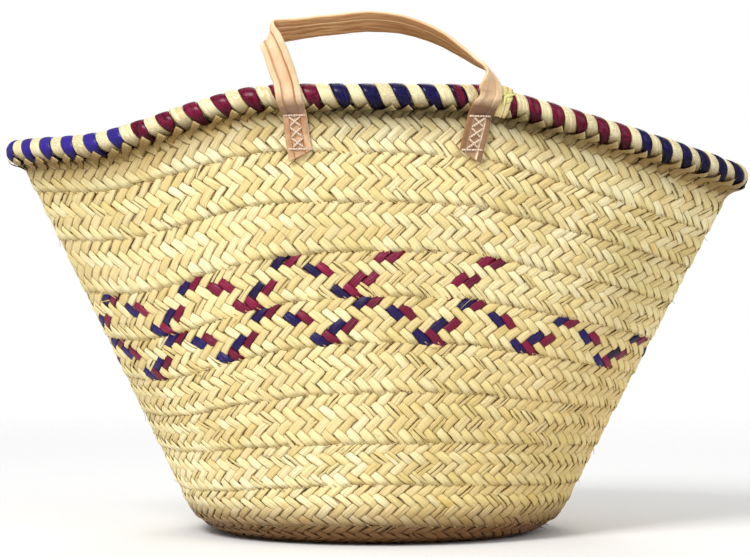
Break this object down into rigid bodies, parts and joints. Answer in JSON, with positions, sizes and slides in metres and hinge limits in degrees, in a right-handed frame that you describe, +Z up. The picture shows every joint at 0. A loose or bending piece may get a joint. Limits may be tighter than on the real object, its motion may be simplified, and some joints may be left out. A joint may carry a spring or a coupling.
{
  "type": "grocery basket",
  "caption": "Soft shopping basket of spirally sewn palm-leaf braid, round base, wide pointed mouth with striped wound rim, and folding leather strap handles.",
  "frame": {"origin": "middle of the whole outline seen from above, on the ground", "axes": "+X to the right along the long mouth, -Y to the front with the standing handle, +Z up"},
  "size_m": [0.5782, 0.326, 0.3902],
  "materials": {
    "braided_leaf": "dried palm leaf, satin, cream to gold",
    "seam_cord": "twisted leaf cord, matt",
    "leaf_bundle": "bundle of dried leaf, matt",
    "cream_strip": "plain leaf strip, satin",
    "purple_strip": "dyed leaf strip, glossy",
    "magenta_strip": "dyed leaf strip, glossy",
    "strap_leather": "pale vegetable-tanned leather, satin",
    "stitch_thread": "waxed thread, off-white"
  },
  "bodies": {
    "basket": {"base_braid": "braided_leaf", "wall_braid": "braided_leaf", "base_seam_cord": "seam_cord", "wall_seam_cord": "seam_cord", "rim_core": "leaf_bundle", "cream_binding_1": "cream_strip", "cream_binding_2": "cream_strip", "cream_binding_3": "cream_strip", "cream_binding_4": "cream_strip", "cream_binding_5": "cream_strip", "cream_binding_6": "cream_strip", "cream_binding_7": "cream_strip", "cream_binding_8": "cream_strip", "purple_binding_1": "purple_strip", "purple_binding_2": "purple_strip", "purple_binding_3": "purple_strip", "purple_binding_4": "purple_strip", "magenta_binding_1": "magenta_strip", "magenta_binding_2": "magenta_strip", "magenta_binding_3": "magenta_strip", "magenta_binding_4": "magenta_strip", "front_strap_end_left": "strap_leather", "front_strap_end_right": "strap_leather", "front_stitching_left": "stitch_thread", "front_stitching_right": "stitch_thread", "back_strap_end_left": "strap_leather", "back_strap_end_right": "strap_leather", "back_stitching_left": "stitch_thread", "back_stitching_right": "stitch_thread"},
    "front_risers": {"front_strap_riser_left": "strap_leather", "front_strap_riser_right": "strap_leather"},
    "front_loop": {"front_strap_loop": "strap_leather"},
    "back_risers": {"back_strap_riser_left": "strap_leather", "back_strap_riser_right": "strap_leather"},
    "back_loop": {"back_strap_loop": "strap_leather"}
  },
  "joints": [
    {"name": "front_knee", "type": "hinge", "parent": "basket", "child": "front_risers", "pos_m": [0.00768, -0.15613, 0.324], "axis": [0.9998, 0.0193, 0], "range_deg": [0, 110]},
    {"name": "front_fold", "type": "hinge", "parent": "front_risers", "child": "front_loop", "pos_m": [0.00765, -0.15453, 0.3374], "axis": [0.9998, 0.0193, 0], "range_deg": [-45, 62]},
    {"name": "back_knee", "type": "hinge", "parent": "basket", "child": "back_risers", "pos_m": [-0.00763, 0.11986, 0.324], "axis": [-0.9998, -0.0193, 0], "range_deg": [-110, 0]},
    {"name": "back_fold", "type": "hinge", "parent": "back_risers", "child": "back_loop", "pos_m": [-0.00789, 0.133, 0.32092], "axis": [-0.9998, -0.0193, 0], "range_deg": [-107, 0]}
  ]
}
